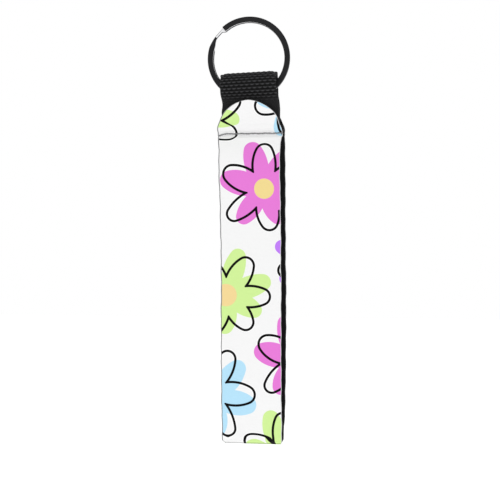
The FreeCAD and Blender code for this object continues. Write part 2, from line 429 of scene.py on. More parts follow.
def joined(name, pieces):
    """Several meshes as one piece."""
    for piece in bpy.context.selected_objects:
        piece.select_set(False)
    for piece in pieces:
        piece.select_set(True)
    bpy.context.view_layer.objects.active = pieces[0]
    bpy.ops.object.join()
    pieces[0].name = name
    return pieces[0]


# --- Material nodes ---


def display(red, green, blue):
    """A colour as the eye sees it on a screen, 0 to 255, as the linear colour that shaders take."""
    linear = []
    for part in (red, green, blue):
        part = part / 255
        linear.append(part / 12.92 if part <= 0.04045 else ((part + 0.055) / 1.055)**2.4)
    return (*linear, 1.0)


def new_material(name, roughness, metallic=0.0, specular=0.5):
    material = bpy.data.materials.new(name)
    material.use_nodes = True
    tree = material.node_tree
    shader = tree.nodes["Principled BSDF"]
    shader.inputs["Roughness"].default_value = roughness
    shader.inputs["Metallic"].default_value = metallic
    shader.inputs["Specular IOR Level"].default_value = specular
    return material, tree, shader


def put(tree, socket, value):
    if isinstance(value, bpy.types.NodeSocket):
        tree.links.new(value, socket)
    else:
        socket.default_value = value


def maths(tree, operation, *values, clamp=False):
    node = tree.nodes.new("ShaderNodeMath")
    node.operation = operation
    node.use_clamp = clamp
    for socket, value in zip(node.inputs, values):
        put(tree, socket, value)
    return node.outputs[0]


def vector_maths(tree, operation, first, second):
    node = tree.nodes.new("ShaderNodeVectorMath")
    node.operation = operation
    put(tree, node.inputs[0], first)
    put(tree, node.inputs[1], second)
    return node.outputs["Value" if operation == "DOT_PRODUCT" else "Vector"]


def mixed(tree, share, first, second):
    node = tree.nodes.new("ShaderNodeMix")
    node.data_type = "RGBA"
    put(tree, node.inputs["Factor"], share)
    colours = [s for s in node.inputs if s.type == "RGBA"]
    put(tree, colours[0], first)
    put(tree, colours[1], second)
    return next(s for s in node.outputs if s.type == "RGBA")


def tint(tree, shader, share, first, second):
    """Colours a shader from the first colour to the second, by a share."""
    put(tree, shader.inputs["Base Color"], mixed(tree, share, first, second))


def below(tree, distance, limit, softness=0.04):
    """1 where a distance is under the limit, 0 past it."""
    gap = maths(tree, "SUBTRACT", limit, distance)
    return maths(tree, "MULTIPLY_ADD", gap, 1 / (2 * softness), 0.5, clamp=True)


def noise(tree, place, scale, detail=3.0):
    node = tree.nodes.new("ShaderNodeTexNoise")
    node.inputs["Scale"].default_value = scale
    node.inputs["Detail"].default_value = detail
    put(tree, node.inputs["Vector"], place)
    return node.outputs["Fac"]


def object_place(tree):
    return tree.nodes.new("ShaderNodeTexCoord").outputs["Object"]


def strap_place(tree):
    """Place on the strap in millimetres: across from its middle, and along from the stitches."""
    node = tree.nodes.new("ShaderNodeUVMap")
    node.uv_map = "strap"
    return node.outputs["UV"]


def separated(tree, place):
    """A place's X, Y and Z, each by its name."""
    node = tree.nodes.new("ShaderNodeSeparateXYZ")
    put(tree, node.inputs[0], place)
    return node.outputs


def add_bump(tree, shader, height, strength, deep_mm):
    node = tree.nodes.new("ShaderNodeBump")
    node.inputs["Strength"].default_value = strength
    node.inputs["Distance"].default_value = deep_mm * MM
    put(tree, node.inputs["Height"], height)
    tree.links.new(node.outputs["Normal"], shader.inputs["Normal"])


def vary_roughness(tree, shader, share, low, high):
    node = tree.nodes.new("ShaderNodeMapRange")
    put(tree, node.inputs["Value"], share)
    node.inputs["To Min"].default_value = low
    node.inputs["To Max"].default_value = high
    tree.links.new(node.outputs[0], shader.inputs["Roughness"])


# --- Print: retro daisies, each a filled shape with a loose black outline drawn beside it ---

GROUND = display(241, 241, 241)
WHITE = display(255, 255, 255)
INK = display(3, 3, 3)
PINK = display(228, 123, 213)
GREEN = display(206, 238, 152)
BLUE = display(180, 223, 245)
PURPLE = display(190, 124, 243)
BUTTER = display(238, 215, 145)
PEACH = display(240, 213, 150)
LINE_HALF = 0.47
LINE_GLOW = 0.72
GLOW_SOFT = 0.12
PETAL_ROOT = 0.5  # half a petal's width at the flower's centre
BELLY_SHARE = 0.6  # how far along a petal is at its widest
TIP_SHARE = 0.75  # its tip's radius, of half its width
PETAL_ROUNDS = 3  # steps that find the nearest disc
PRINT_REPEAT = 158.0
PRINT_SHIFT = 0.25
# Painted shade along the bottom fold's crease, where its underside turns from the light
CREASE_HALF = 0.2
CREASE_SOFT = 0.1
CREASE_PAINTED_SHADE = 0.45
YARN_SHADE = 0.045
KNIT_COLUMN = 0.62
KNIT_COURSE = 0.46
KNIT_SLANT = 2.2  # how far a stitch's legs slant into a V
KNIT_RIDGE = 0.6

# Centres are millimetres across from the strap's middle and along from the stitches, on a strap that runs
# down; a petal is its direction in degrees, its length from the centre and half its width. The table
# began as measured places converted by another script, and was then changed by eye: see report.md
Daisy = namedtuple("Daisy", "fill centre petals line_centre line_petals eye", defaults=[None])
DAISIES = [
    Daisy(GREEN, (-19.4, -6.5), [(1, 15.7, 3.9), (292, 13.9, 3.7)],
          (-21.8, -6.0), [(26.6, 20.9, 4.9), (337.6, 17.5, 4.4)]),
    Daisy(BLUE, (18.0, -13.8), [(177, 14.8, 4.2), (244, 16.2, 4.0)],
          (17.2, -15.7), [(201.5, 15.3, 4.1), (257, 16.5, 4.0)]),
    Daisy(PINK, (5.5, 21.55), [(107.5, 18.2, 4.45), (166, 17.3, 4.6), (233, 16.2, 4.0),
                               (296, 14.7, 4.0), (350, 17.2, 4.2), (52, 18.2, 4.2)],
          (5.6, 21.8), [(90, 16.8, 4.4), (155, 17.0, 4.4), (218, 17.7, 3.7),
                        (278, 15.6, 4.3), (330, 17.4, 4.4), (28, 17.3, 4.2)], (BUTTER, 3.8)),
    Daisy(PURPLE, (27.1, 50.3), [(156, 19.2, 3.5), (201, 17.2, 3.6)],
          (27.4, 49.4), [(192, 17.2, 3.4)]),
    Daisy(GREEN, (-9.6, 61.8), [(72, 18.3, 4.1), (19, 18.1, 4.1), (333, 15.2, 3.9),
                                (268, 14.7, 4.5), (205, 16.8, 3.8), (128, 17.5, 3.8)],
          (-9.5, 62.3), [(57, 17.0, 4.3), (0, 16.8, 4.0), (308, 15.2, 4.0),
                         (247, 15.8, 4.0), (180, 16.0, 4.5), (120, 16.9, 4.0)], (PEACH, 4.2)),
    Daisy(PINK, (17.0, 86.2), [(105, 17.5, 4.1), (166, 16.2, 4.6), (241, 14.7, 4.2)],
          (17.6, 85.9), [(153, 16.0, 4.6), (226, 16.7, 3.7)]),
    Daisy(BLUE, (-14.5, 101.5), [(52, 18.4, 4.4), (351, 16.6, 4.8), (274, 15.4, 4.6)],
          (-15.9, 98.9), [(62, 17.7, 4.1), (357, 17.3, 4.5), (295, 18.6, 3.9)]),
    Daisy(GREEN, (10.8, 122.8), [(103, 17.7, 4.2), (166, 15.1, 4.0), (228, 15.5, 4.0),
                                 (286, 16.0, 4.0), (40, 16.0, 4.0)],
          (12.3, 123.2), [(91, 16.8, 4.0), (158, 16.4, 4.1), (218, 16.5, 4.0),
                          (275, 16.7, 4.2)], (BUTTER, 3.9)),
]


def petal_group():
    """Node group: the signed distance to a petal, a disc swept along its axis that swells, then narrows."""
    group = bpy.data.node_groups.new("petal_distance", "ShaderNodeTree")
    for name, kind in (("Place", "Vector"), ("Centre", "Vector"), ("Axis", "Vector"), ("Side", "Vector"),
                       ("Reach", "Float"), ("Swell", "Float"), ("Fall", "Float")):
        group.interface.new_socket(name=name, in_out="INPUT", socket_type="NodeSocket" + kind)
    group.interface.new_socket(name="Distance", in_out="OUTPUT", socket_type="NodeSocketFloat")
    start = group.nodes.new("NodeGroupInput")
    sockets = start.outputs
    offset = vector_maths(group, "SUBTRACT", sockets["Place"], sockets["Centre"])
    along = vector_maths(group, "DOT_PRODUCT", offset, sockets["Axis"])
    side = vector_maths(group, "DOT_PRODUCT", offset, sockets["Side"])
    side_square = maths(group, "MULTIPLY", side, side)
    fall_slope = maths(group, "MULTIPLY", sockets["Fall"], -2.0)

    def on_axis(value):
        return maths(group, "MINIMUM", maths(group, "MAXIMUM", value, 0.0), sockets["Reach"])

    def away(nearest):
        past = maths(group, "SUBTRACT", along, nearest)
        return maths(group, "SQRT", maths(group, "MULTIPLY_ADD", past, past, side_square))

    nearest = on_axis(along)
    for _ in range(PETAL_ROUNDS):
        slope = maths(group, "MULTIPLY_ADD", nearest, fall_slope, sockets["Swell"])
        nearest = on_axis(maths(group, "MULTIPLY_ADD", slope, away(nearest), along))
    swollen = maths(group, "MULTIPLY_ADD", nearest, sockets["Swell"], PETAL_ROOT)
    fallen = maths(group, "MULTIPLY", maths(group, "MULTIPLY", nearest, nearest), sockets["Fall"])
    radius = maths(group, "SUBTRACT", swollen, fallen)
    end = group.nodes.new("NodeGroupOutput")
    group.links.new(maths(group, "SUBTRACT", away(nearest), radius), end.inputs["Distance"])
    return group


PETAL = petal_group()


def petals_distance(tree, place, centre, petals):
    """The signed distance to a daisy, the union of its petals, rounded where two outlines meet."""
    union = None
    for direction, length, half_width in petals:
        turn = math.radians(direction)
        tip = TIP_SHARE * half_width
        reach = length - tip
        widest = BELLY_SHARE * reach
        growth = half_width - PETAL_ROOT
        fall = (growth / BELLY_SHARE - (tip - PETAL_ROOT)) / (reach**2 * (1 - BELLY_SHARE))
        node = tree.nodes.new("ShaderNodeGroup")
        node.node_tree = PETAL
        put(tree, node.inputs["Place"], place)
        node.inputs["Centre"].default_value = (*centre, 0.0)
        node.inputs["Axis"].default_value = (math.cos(turn), -math.sin(turn), 0.0)
        node.inputs["Side"].default_value = (math.sin(turn), math.cos(turn), 0.0)
        node.inputs["Reach"].default_value = reach
        node.inputs["Swell"].default_value = growth / widest + widest * fall
        node.inputs["Fall"].default_value = fall
        distance = node.outputs["Distance"]
        union = distance if union is None else rounded_union(tree, union, distance)
    return union


def rounded_union(tree, first, second):
    """The signed distance to two shapes at once, as if a round pen drew the corner where they meet."""
    inside = maths(tree, "ADD", maths(tree, "MINIMUM", first, 0.0), maths(tree, "MINIMUM", second, 0.0))
    outside = maths(tree, "MAXIMUM", maths(tree, "MINIMUM", first, second), 0.0)
    return maths(tree, "ADD", inside, outside)


def near_stretch(centre, petals, first, last):
    """The petals of a daisy that reach into a stretch of the strap."""
    kept = []
    for direction, length, half_width in petals:
        tip_along = centre[1] - length * math.sin(math.radians(direction))
        low = min(tip_along, centre[1]) - half_width - LINE_GLOW
        high = max(tip_along, centre[1]) + half_width + LINE_GLOW
        if high > first and low < last:
            kept.append((direction, length, half_width))
    return kept


def daisy_fills(tree, place, daisy, shift, first, last):
    """A daisy's filled shapes on a stretch of the strap, as (share, colour): its petals, then its eye."""
    centre = (daisy.centre[0], daisy.centre[1] + shift)
    petals = near_stretch(centre, daisy.petals, first, last)
    if not petals:
        return []
    fills = [(below(tree, petals_distance(tree, place, centre, petals), 0.0), daisy.fill)]
    if daisy.eye:
        colour, radius = daisy.eye
        offset = vector_maths(tree, "SUBTRACT", place, (*centre, 0.0))
        square = vector_maths(tree, "DOT_PRODUCT", offset, offset)
        fills.append((below(tree, maths(tree, "SQRT", square), radius), colour))
    return fills


def daisy_line(tree, place, daisy, shift, first, last):
    """The distance to a daisy's outline on a stretch of the strap, or None where it doesn't reach."""
    centre = (daisy.line_centre[0], daisy.line_centre[1] + shift)
    petals = near_stretch(centre, daisy.line_petals, first, last)
    if not petals:
        return None
    return maths(tree, "ABSOLUTE", petals_distance(tree, place, centre, petals))


def daisy_print(tree, place, first, last):
    """The print's colour on a stretch of the strap, between two lengths from the front stitches."""
    fills, line = [], None
    for shift in (0.0, PRINT_REPEAT):
        for daisy in DAISIES:
            fills += daisy_fills(tree, place, daisy, shift, first, last)
            outline = daisy_line(tree, place, daisy, shift, first, last)
            if line is None:
                line = outline
            elif outline is not None:
                line = maths(tree, "MINIMUM", line, outline)
    colour = GROUND
    if line is not None:
        colour = mixed(tree, below(tree, line, LINE_GLOW, GLOW_SOFT), GROUND, WHITE)
    for share, fill in fills:
        colour = mixed(tree, share, colour, fill)
    if line is not None:
        colour = mixed(tree, below(tree, line, LINE_HALF), colour, INK)
    return colour


def knit_height(tree, place):
    """Fine weft knit: columns of small V stitches."""
    parts = separated(tree, place)
    across, along = parts["X"], parts["Y"]
    column = maths(tree, "SINE", maths(tree, "MULTIPLY", across, 2 * math.pi / KNIT_COLUMN))
    leg = maths(tree, "ABSOLUTE", column)
    course = maths(tree, "MULTIPLY", along, 2 * math.pi / KNIT_COURSE)
    stitch = maths(tree, "SINE", maths(tree, "MULTIPLY_ADD", leg, KNIT_SLANT, course))
    return maths(tree, "MULTIPLY_ADD", leg, KNIT_RIDGE, stitch)


def print_material(name, first, last, crease):
    """Printed knit on a stretch of the strap, with painted shade along the bottom fold's crease."""
    material, tree, shader = new_material(name, roughness=0.85, specular=0.12)
    place = strap_place(tree)
    colour = daisy_print(tree, place, first, last)
    along = separated(tree, place)["Y"]
    # Painted shade: the print darkens towards INK along the bottom fold's crease
    from_crease = maths(tree, "ABSOLUTE", maths(tree, "SUBTRACT", along, crease))
    painted_crease_shade = maths(tree, "MULTIPLY", below(tree, from_crease, CREASE_HALF, CREASE_SOFT), CREASE_PAINTED_SHADE)
    colour = mixed(tree, painted_crease_shade, colour, INK)
    yarn = noise(tree, place, scale=3.0)
    shade = mixed(tree, maths(tree, "MULTIPLY", yarn, YARN_SHADE), colour, INK)
    tree.links.new(shade, shader.inputs["Base Color"])
    shader.inputs["Sheen Weight"].default_value = 0.05
    vary_roughness(tree, shader, yarn, low=0.78, high=0.92)
    add_bump(tree, shader, knit_height(tree, place), strength=0.35, deep_mm=0.03)
    return material


def edge_material():
    """The print knit's cut edge: yarn ends, grey as painted shade on the left and light grey on the right,
    where the light falls.
    """
    material, tree, shader = new_material("knit_cut_edge", roughness=0.95, specular=0.1)
    place = strap_place(tree)
    ends = noise(tree, place, scale=2.6, detail=4.0)
    # Painted shade: the left edge is coloured grey and the right light grey, by which side faces the light
    right = maths(tree, "GREATER_THAN", separated(tree, place)["X"], 0.0)
    grey = mixed(tree, ends, display(70, 70, 72), display(160, 160, 162))
    tint(tree, shader, right, grey, display(215, 215, 217))
    add_bump(tree, shader, ends, strength=0.6, deep_mm=0.12)
    return material


def foam_material():
    """Neoprene foam: black, with fine closed cells at its cut."""
    material, tree, shader = new_material("neoprene_foam", roughness=0.85, specular=0.25)
    place = object_place(tree)
    cells = tree.nodes.new("ShaderNodeTexVoronoi")
    cells.inputs["Scale"].default_value = 1 / (0.35 * MM)
    put(tree, cells.inputs["Vector"], place)
    cell = cells.outputs["Distance"]
    patches = noise(tree, place, scale=400.0)
    tint(tree, shader, patches, display(14, 14, 14), display(34, 34, 34))
    vary_roughness(tree, shader, patches, low=0.75, high=0.95)
    add_bump(tree, shader, cell, strength=0.5, deep_mm=0.08)
    return material


def lining_material():
    """Black knit lining with a soft nap."""
    material, tree, shader = new_material("lining_knit", roughness=0.9, specular=0.1)
    place = strap_place(tree)
    nap = noise(tree, place, scale=2.2, detail=5.0)
    tint(tree, shader, nap, display(8, 8, 9), display(28, 28, 30))
    shader.inputs["Sheen Weight"].default_value = 0.12
    vary_roughness(tree, shader, nap, low=0.82, high=0.97)
    add_bump(tree, shader, maths(tree, "ADD", knit_height(tree, place), nap), strength=0.6, deep_mm=0.05)
    return material


def rib_light(tree, place, worn):
    """Painted highlights on the ribs' crowns, in step with the ribs of the mesh; the wear noise also varies
    their strength.
    """
    parts = separated(tree, place)
    across, along = parts["X"], parts["Y"]
    row = maths(tree, "FLOOR", maths(tree, "DIVIDE", along, RIB_PITCH))
    stagger = maths(tree, "MULTIPLY", row, 0.5)
    turns = maths(tree, "MULTIPLY_ADD", across, 1 / BUMP_PITCH, stagger)
    arch = maths(tree, "ABSOLUTE", maths(tree, "COSINE", maths(tree, "MULTIPLY", turns, math.pi)))
    phase = maths(tree, "MULTIPLY_ADD", arch, ARCH_REACH, along)
    wave = maths(tree, "COSINE", maths(tree, "MULTIPLY", phase, 2 * math.pi / RIB_PITCH))
    crown = maths(tree, "MULTIPLY_ADD", wave, -0.5, 0.5)
    bump = maths(tree, "MULTIPLY_ADD", arch, 1 - VALLEY_LIGHT, VALLEY_LIGHT)
    crown = maths(tree, "MULTIPLY", crown, bump)
    crown = maths(tree, "POWER", crown, CROWN_POWER)
    return maths(tree, "MULTIPLY", crown, maths(tree, "MULTIPLY_ADD", worn, 0.8, 0.6), clamp=True)


def pressed_painted_shade(tree, light):
    """The ribs' painted highlights, evened out to a flat painted shade where the weave is pressed, low on
    the tab.
    """
    loose = tree.nodes.new("ShaderNodeMapRange")
    put(tree, loose.inputs["Value"], separated(tree, object_place(tree))["Z"])
    loose.inputs["From Min"].default_value = PRESSED_LOW * MM
    loose.inputs["From Max"].default_value = PRESSED_HIGH * MM
    from_even = maths(tree, "SUBTRACT", light, PRESSED_PAINTED_LIGHT)
    return maths(tree, "MULTIPLY_ADD", from_even, loose.outputs[0], PRESSED_PAINTED_LIGHT)


def webbing_material():
    """Black nylon yarn, its base colour lighter on the ribs' crowns as painted highlights."""
    material, tree, shader = new_material("nylon_webbing", roughness=0.6, specular=0.08)
    place = strap_place(tree)
    parts = separated(tree, place)
    slanted = maths(tree, "MULTIPLY_ADD", parts["Y"], STRAND_SLANT, parts["X"])
    strands = maths(tree, "SINE", maths(tree, "MULTIPLY", slanted, 2 * math.pi / STRAND_PITCH))
    worn = noise(tree, place, scale=1.6, detail=4.0)
    light = pressed_painted_shade(tree, rib_light(tree, place, worn))
    # Painted highlights: the base colour runs from black in the valleys to grey on the lit crowns
    tint(tree, shader, light, display(3, 3, 3), display(66, 66, 68))
    shader.inputs["Sheen Weight"].default_value = 0.03
    vary_roughness(tree, shader, worn, low=0.42, high=0.7)
    add_bump(tree, shader, strands, strength=0.5, deep_mm=0.05)
    return material


def thread_material():
    material, tree, shader = new_material("grey_thread", roughness=0.6, specular=0.3)
    place = object_place(tree)
    twist = tree.nodes.new("ShaderNodeTexWave")
    twist.inputs["Scale"].default_value = 700.0
    twist.bands_direction = "DIAGONAL"
    put(tree, twist.inputs["Vector"], place)
    tint(tree, shader, twist.outputs["Fac"], display(92, 92, 94), display(142, 142, 144))
    vary_roughness(tree, shader, noise(tree, place, scale=900.0), low=0.5, high=0.75)
    add_bump(tree, shader, twist.outputs["Fac"], strength=0.6, deep_mm=0.06)
    return material


def ring_black_material():
    """Black finish over steel, drawn lengthwise, a little worn."""
    material, tree, shader = new_material("ring_black_finish", roughness=0.32, specular=0.14)
    place = object_place(tree)
    stretch = tree.nodes.new("ShaderNodeMapping")
    stretch.inputs["Scale"].default_value = (1.0, 6.0, 1.0)
    put(tree, stretch.inputs["Vector"], place)
    drawn = noise(tree, stretch.outputs["Vector"], scale=260.0, detail=4.0)
    worn = noise(tree, place, scale=90.0, detail=2.0)
    tint(tree, shader, worn, display(10, 10, 11), display(40, 40, 42))
    vary_roughness(tree, shader, drawn, low=0.24, high=0.44)
    add_bump(tree, shader, drawn, strength=0.15, deep_mm=0.03)
    return material


def ring_bright_material():
    """Bare bright steel, where the finish doesn't reach."""
    material, tree, shader = new_material("ring_bright_steel", roughness=0.18, metallic=1.0)
    place = object_place(tree)
    marks = noise(tree, place, scale=500.0, detail=4.0)
    tint(tree, shader, marks, display(222, 222, 224), display(248, 248, 250))
    vary_roughness(tree, shader, marks, low=0.12, high=0.28)
    add_bump(tree, shader, marks, strength=0.08, deep_mm=0.02)
    return material


# --- Split ring ---


def wire_section(deep):
    return rounded_section(deep / 2, WIRE_THICK / 2, WIRE_EDGE, WIRE_STEPS)


def wire_ring(angle, y, narrowing=0.0, recess=0.0):
    """The wire's section at an angle: narrowed from the ring's inside, recessed from its outside."""
    turn = math.radians(angle)
    outward = Vector((math.cos(turn), 0, math.sin(turn)))
    deep = WIRE_DEEP - narrowing
    inset = REAR_INSET * (y + TURN_Y) / (2 * TURN_Y)
    middle = RING_R - recess - inset - deep / 2
    points = []
    for across, depth, _ in wire_section(deep):
        crown = WIRE_CROWN * (1 - (2 * across / deep)**2)
        lifted = depth + math.copysign(crown, depth)
        place = outward * (middle + across)
        points.append((place.x, y + lifted - math.copysign(WIRE_CROWN, depth), RING_CENTRE + place.z))
    return points


def wire_numbers(bare):
    """Material numbers round the wire's section: 1 is bright steel, on the wall that faces the ring's
    middle, or on every flat of a bare stretch; the rounded corners keep the black finish."""
    section = wire_section(WIRE_DEEP)
    wall = -WALL_SHARE * WIRE_DEEP / 2
    numbers = []
    for k, point in enumerate(section):
        after = section[(k + 1) % len(section)]
        level = abs(point[0] - after[0]) < CLOSE or abs(point[1] - after[1]) < CLOSE
        inner_wall = level and point[0] < wall and after[0] < wall
        numbers.append(1 if inner_wall or (bare and level) else 0)
    return numbers


def angles(start, end):
    count = max(2, round(abs(start - end) / ANGLE_STEP))
    return [start + (end - start) * i / count for i in range(count + 1)]


def free_half_turn(materials):
    """The front half turn, which lifts to let a key on."""
    rings = [wire_ring(a, -TURN_Y) for a in angles(CUT_ANGLE, PRY_ANGLE)]
    free = sweep("ring_free_half_turn", rings, materials, wire_numbers(False))
    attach(free, "ring_free_end")
    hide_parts("ring_free_turn")


def crossing_ring(angle):
    """The wire's section where it passes from the front turn to the rear one."""
    crossed = float(smooth((BARE_ANGLE + CROSSING_LEAD - angle) / (BARE_ANGLE + CROSSING_LEAD - CUT_ANGLE)))
    narrowed = float(smooth((TAPER_ANGLE - angle) / (TAPER_ANGLE - BARE_ANGLE)))
    widened = float(smooth((angle - CUT_ANGLE) / CUT_TAPER))
    recess = CROSSING_RECESS * math.sin(math.pi * (angle - CUT_ANGLE) / (TAPER_ANGLE - CUT_ANGLE))
    y = -TURN_Y + 2 * TURN_Y * crossed
    return wire_ring(angle, y, CROSSING_NARROWING * narrowed * widened, recess)


def rear_ring(angle):
    """The rear turn's section, narrowed towards its cut end."""
    to_end = float(smooth(1 - (angle - REAR_END + 360) / END_TAPER))
    return wire_ring(angle, TURN_Y, CROSSING_NARROWING * to_end)


def ring_turns(materials):
    """The rest of the wire: on along the front, across, and round the rear to its cut end."""
    rows = [(wire_ring(a, -TURN_Y), False) for a in angles(PRY_ANGLE - SLIT_ANGLE, TAPER_ANGLE - 360)]
    rows += [(crossing_ring(a), a < BARE_ANGLE) for a in angles(TAPER_ANGLE, CUT_ANGLE)[1:]]
    rows += [(rear_ring(a), False) for a in angles(CUT_ANGLE, REAR_END - 360)[1:]]
    row_numbers = [wire_numbers(bare) for _, bare in rows]
    turns = sweep("ring_turns", [ring for ring, _ in rows], materials, row_numbers=row_numbers)
    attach(turns, "ring")
    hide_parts("split_ring")


def split_ring(black, bright):
    free_half_turn([black, bright])
    ring_turns([black, bright])


# --- Webbing tab ---


def rib_height(x, along, z):
    """How far the weave stands out of the webbing's face."""
    row = math.floor(along / RIB_PITCH)
    arch = abs(math.cos(math.pi * (x / BUMP_PITCH + 0.5 * (row % 2))))
    phase = (along + ARCH_REACH * arch) / RIB_PITCH
    rib = 0.5 - 0.5 * math.cos(2 * math.pi * phase)
    border = float(smooth((WEB_HALF - SELVEDGE - abs(x)) / SELVEDGE_SOFT))
    pressed = 1 - PRESSED_SHARE * float(smooth((PRESSED_HIGH - z) / (PRESSED_HIGH - PRESSED_LOW)))
    return RIB_HEIGHT * rib * (BUMP_VALLEY + (1 - BUMP_VALLEY) * arch) * border * pressed


def webbing_point(across, depth, along, place, normal):
    """A point of the webbing, from its flat section: ribbed, its edges waved, leaning."""
    y, z = place
    ground_half = WEB_THICK / 2 - WEB_GROUND
    raised = depth
    if depth > 0:
        raised += rib_height(across, along, z) * min(1.0, depth / ground_half)
    wave = EDGE_WAVE * math.sin(2 * math.pi * along / RIB_PITCH) * (abs(across) / WEB_HALF)**8
    x = across + math.copysign(wave, across)
    if across < 0:
        tucked = float(smooth(-y / TUCK_DEEP) * smooth((z - TUCK_FROM) / TUCK_OVER))
        x += WEB_TUCK * tucked * (across / WEB_HALF)**4
    rise = WEB_RISE * x * float(smooth((z - RISE_FROM) / RISE_OVER))
    sideways = lean(z, LEAN) - WEB_YAW * max(y, 0.0) - WEB_SHIFT
    return x + sideways, y + normal[0] * raised, z + normal[1] * raised + rise


def webbing_tab(material):
    """The webbing, from its front tail up round the ring and down to its rear one."""
    front = leg_line(0.0, TAB_LOW.z)
    line = spaced(front + [(-y, z) for y, z in reversed(front[:-1])], RIB_PITCH / WEB_ROWS)
    heading = np.gradient(line, axis=0)
    heading /= np.linalg.norm(heading, axis=1)[:, None]
    section = rounded_section(WEB_HALF, WEB_THICK / 2 - WEB_GROUND, WEB_EDGE, WEB_COLUMNS)
    step = float(np.linalg.norm(line[1] - line[0]))
    rings, uvs = [], []
    for i, place in enumerate(line):
        normal = (-heading[i][1], heading[i][0])
        along = i * step
        rings.append([webbing_point(across, depth, along, place, normal) for across, depth, _ in section])
        uvs += [(across, along) for across, _, _ in section]
    tab = sweep("webbing_tab_weave", rings, [material], uvs=uvs)
    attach(tab, "seam")
    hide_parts("webbing_tab")


# --- Neoprene strap ---

PLY_DEPTHS = {
    "lining": (lambda thick: 0.0, lambda thick: KNIT_THICK),
    "foam": (lambda thick: KNIT_THICK, lambda thick: thick - KNIT_THICK),
    "print": (lambda thick: thick - KNIT_THICK, lambda thick: thick),
}
PLY_NODES = {"lining": "lining", "foam": "foam_core", "print": "print_face"}
PLY_INSET = {"lining": 0.12, "foam": 0.06, "print": 0.0}


def ply_piece(name, ply, stations, shifts, materials):
    """One ply along stations, each (y, z, outward y, outward z, half width, thickness, length from the
    stitches)."""
    near, far = PLY_DEPTHS[ply]
    rings, uvs = [], []
    for y, z, out_y, out_z, half, thick, v in stations:
        low, high = near(thick), far(thick)
        half_deep = max((high - low) / 2, THINNEST_HALF)
        width = max(half - PLY_INSET[ply], NARROWEST_HALF)
        radius = min(PLY_ROUND * half_deep, PLY_EDGE)
        ring = []
        for across, depth, _ in rounded_section(width, half_deep, radius, PLY_COLUMNS, hem=HEM):
            side = math.copysign(1.0, across)
            wander = waves(v, CUT_WAVES, side) * (abs(across) / width)**6
            if y < 0 and across > 0:
                wander -= lean(z, FRONT_TRIM if shifts is LEAN else TONGUE_TRIM) * across / width
            x = across + side * wander
            deep = (low + high) / 2 + depth
            sideways = lean(z, shifts)
            if y > 0:
                sideways += lean(z, REAR_LEAN)
            ring.append((x + sideways, y + out_y * deep, z + out_z * deep))
            uvs.append((x, v))
        rings.append(ring)
    numbers = print_numbers() if ply == "print" else None
    return sweep(name, rings, materials, numbers, uvs)


def print_numbers():
    """Material numbers round the print's section: 1 on its ends and left hem, 0 elsewhere."""
    half_deep = KNIT_THICK / 2
    section = rounded_section(SAMPLE_HALF, half_deep, PLY_ROUND * half_deep, PLY_COLUMNS, hem=HEM)
    numbers = []
    for k, point in enumerate(section):
        after = section[(k + 1) % len(section)]
        level = abs(point[1] - after[1]) < CLOSE
        plain = level and point[0] > 0
        numbers.append(1 if point[2] and after[2] and not plain else 0)
    return numbers


def loop_stations():
    """Stations round the whole loop, from the front seam to the rear one."""
    line = spaced(loop_line(), STATION_STEP)
    heading = np.gradient(line, axis=0)
    heading[0] = heading[-1] = (1.0, 0.0)
    heading /= np.linalg.norm(heading, axis=1)[:, None]
    start = ROOT_R * math.pi / 2
    steps = np.linalg.norm(np.diff(line, axis=0), axis=1)
    lengths = np.concatenate([[0], np.cumsum(steps)]) - start + (STITCH_Z - SEAM_Z) - PRINT_SHIFT
    stations = []
    for (y, z), (dy, dz), v in zip(line, heading, lengths):
        outward = (dz, -dy)
        outer = z + outward[1] * STRAP_THICK
        thick = strap_thickness(min(z, SEAM_Z))
        stations.append((y, z, *outward, half_width(min(z, outer)), thick, v))
    return stations


def tongue_stations(side):
    """Stations from the seam up to the tongue's round tip, on the front (-1) or the back (+1)."""
    leg = leg_line(WEB_THICK / 2 + TONGUE_GAP, SEAM_Z - SLOPE_STEP)
    leg_z = [z for _, z in leg]
    leg_y = [y for y, _ in leg]
    heights = list(np.linspace(SEAM_Z, TONGUE_BASE, TONGUE_STEPS)[:-1])
    for turn in np.linspace(0, math.pi / 2 * TIP_REACH, TIP_STEPS):
        heights.append(TONGUE_BASE + TONGUE_ROUND * math.sin(turn))
    stations = []
    for z in heights:
        y, above, under = (float(np.interp(z + up, leg_z, leg_y)) for up in (0.0, SLOPE_STEP, -SLOPE_STEP))
        slope = (above - under) / (2 * SLOPE_STEP)
        length = math.hypot(slope, 1.0)
        climb = max(0.0, (z - TONGUE_BASE) / TONGUE_ROUND)
        half = TONGUE_HALF * max(0.0, 1 - climb**2)**TONGUE_POINT
        v = (STITCH_Z - z) * TONGUE_SLANT - PRINT_SHIFT
        stations.append((-side * y, z, side / length, slope / length, half, strap_thickness(z), v))
    return stations


def ply_materials(name, part, crease, edge, foam, lining):
    """Each ply's materials on a part of the strap, its print made for that part alone."""
    low, high = sorted((part[0][ALONG], part[-1][ALONG]))
    print_face = print_material("daisy_print_" + name, low - PRINT_MARGIN, high + PRINT_MARGIN, crease)
    return {"print": [print_face, edge], "foam": [foam], "lining": [lining]}


def loop(stations, crease, shared):
    """The loop: four stretches of three plies, each spanning the place of one hinge."""
    split = next(i for i, s in enumerate(stations) if s[1] < SPLIT_Z)
    fold = len(stations) // 2
    last = len(stations) - 1
    stretches = {
        "front_top": (0, split, "front_upper", "front_lower"),
        "front_bottom": (split, fold, "front_lower", "bottom_fold"),
        "back_bottom": (fold, last - split, "bottom_fold", "back_lower"),
        "back_top": (last - split, last, "back_lower", "back_upper"),
    }
    for stretch, (first, end, body, next_body) in stretches.items():
        part = stations[first:end + 1]
        materials = ply_materials(stretch, part, crease, *shared)
        for ply in PLY_DEPTHS:
            piece = ply_piece(stretch + "_" + ply, ply, part, LEAN, materials[ply])
            nodes = [b + "_" + PLY_NODES[ply] for b in (body, next_body)]
            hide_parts(*nodes)
            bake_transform(piece)


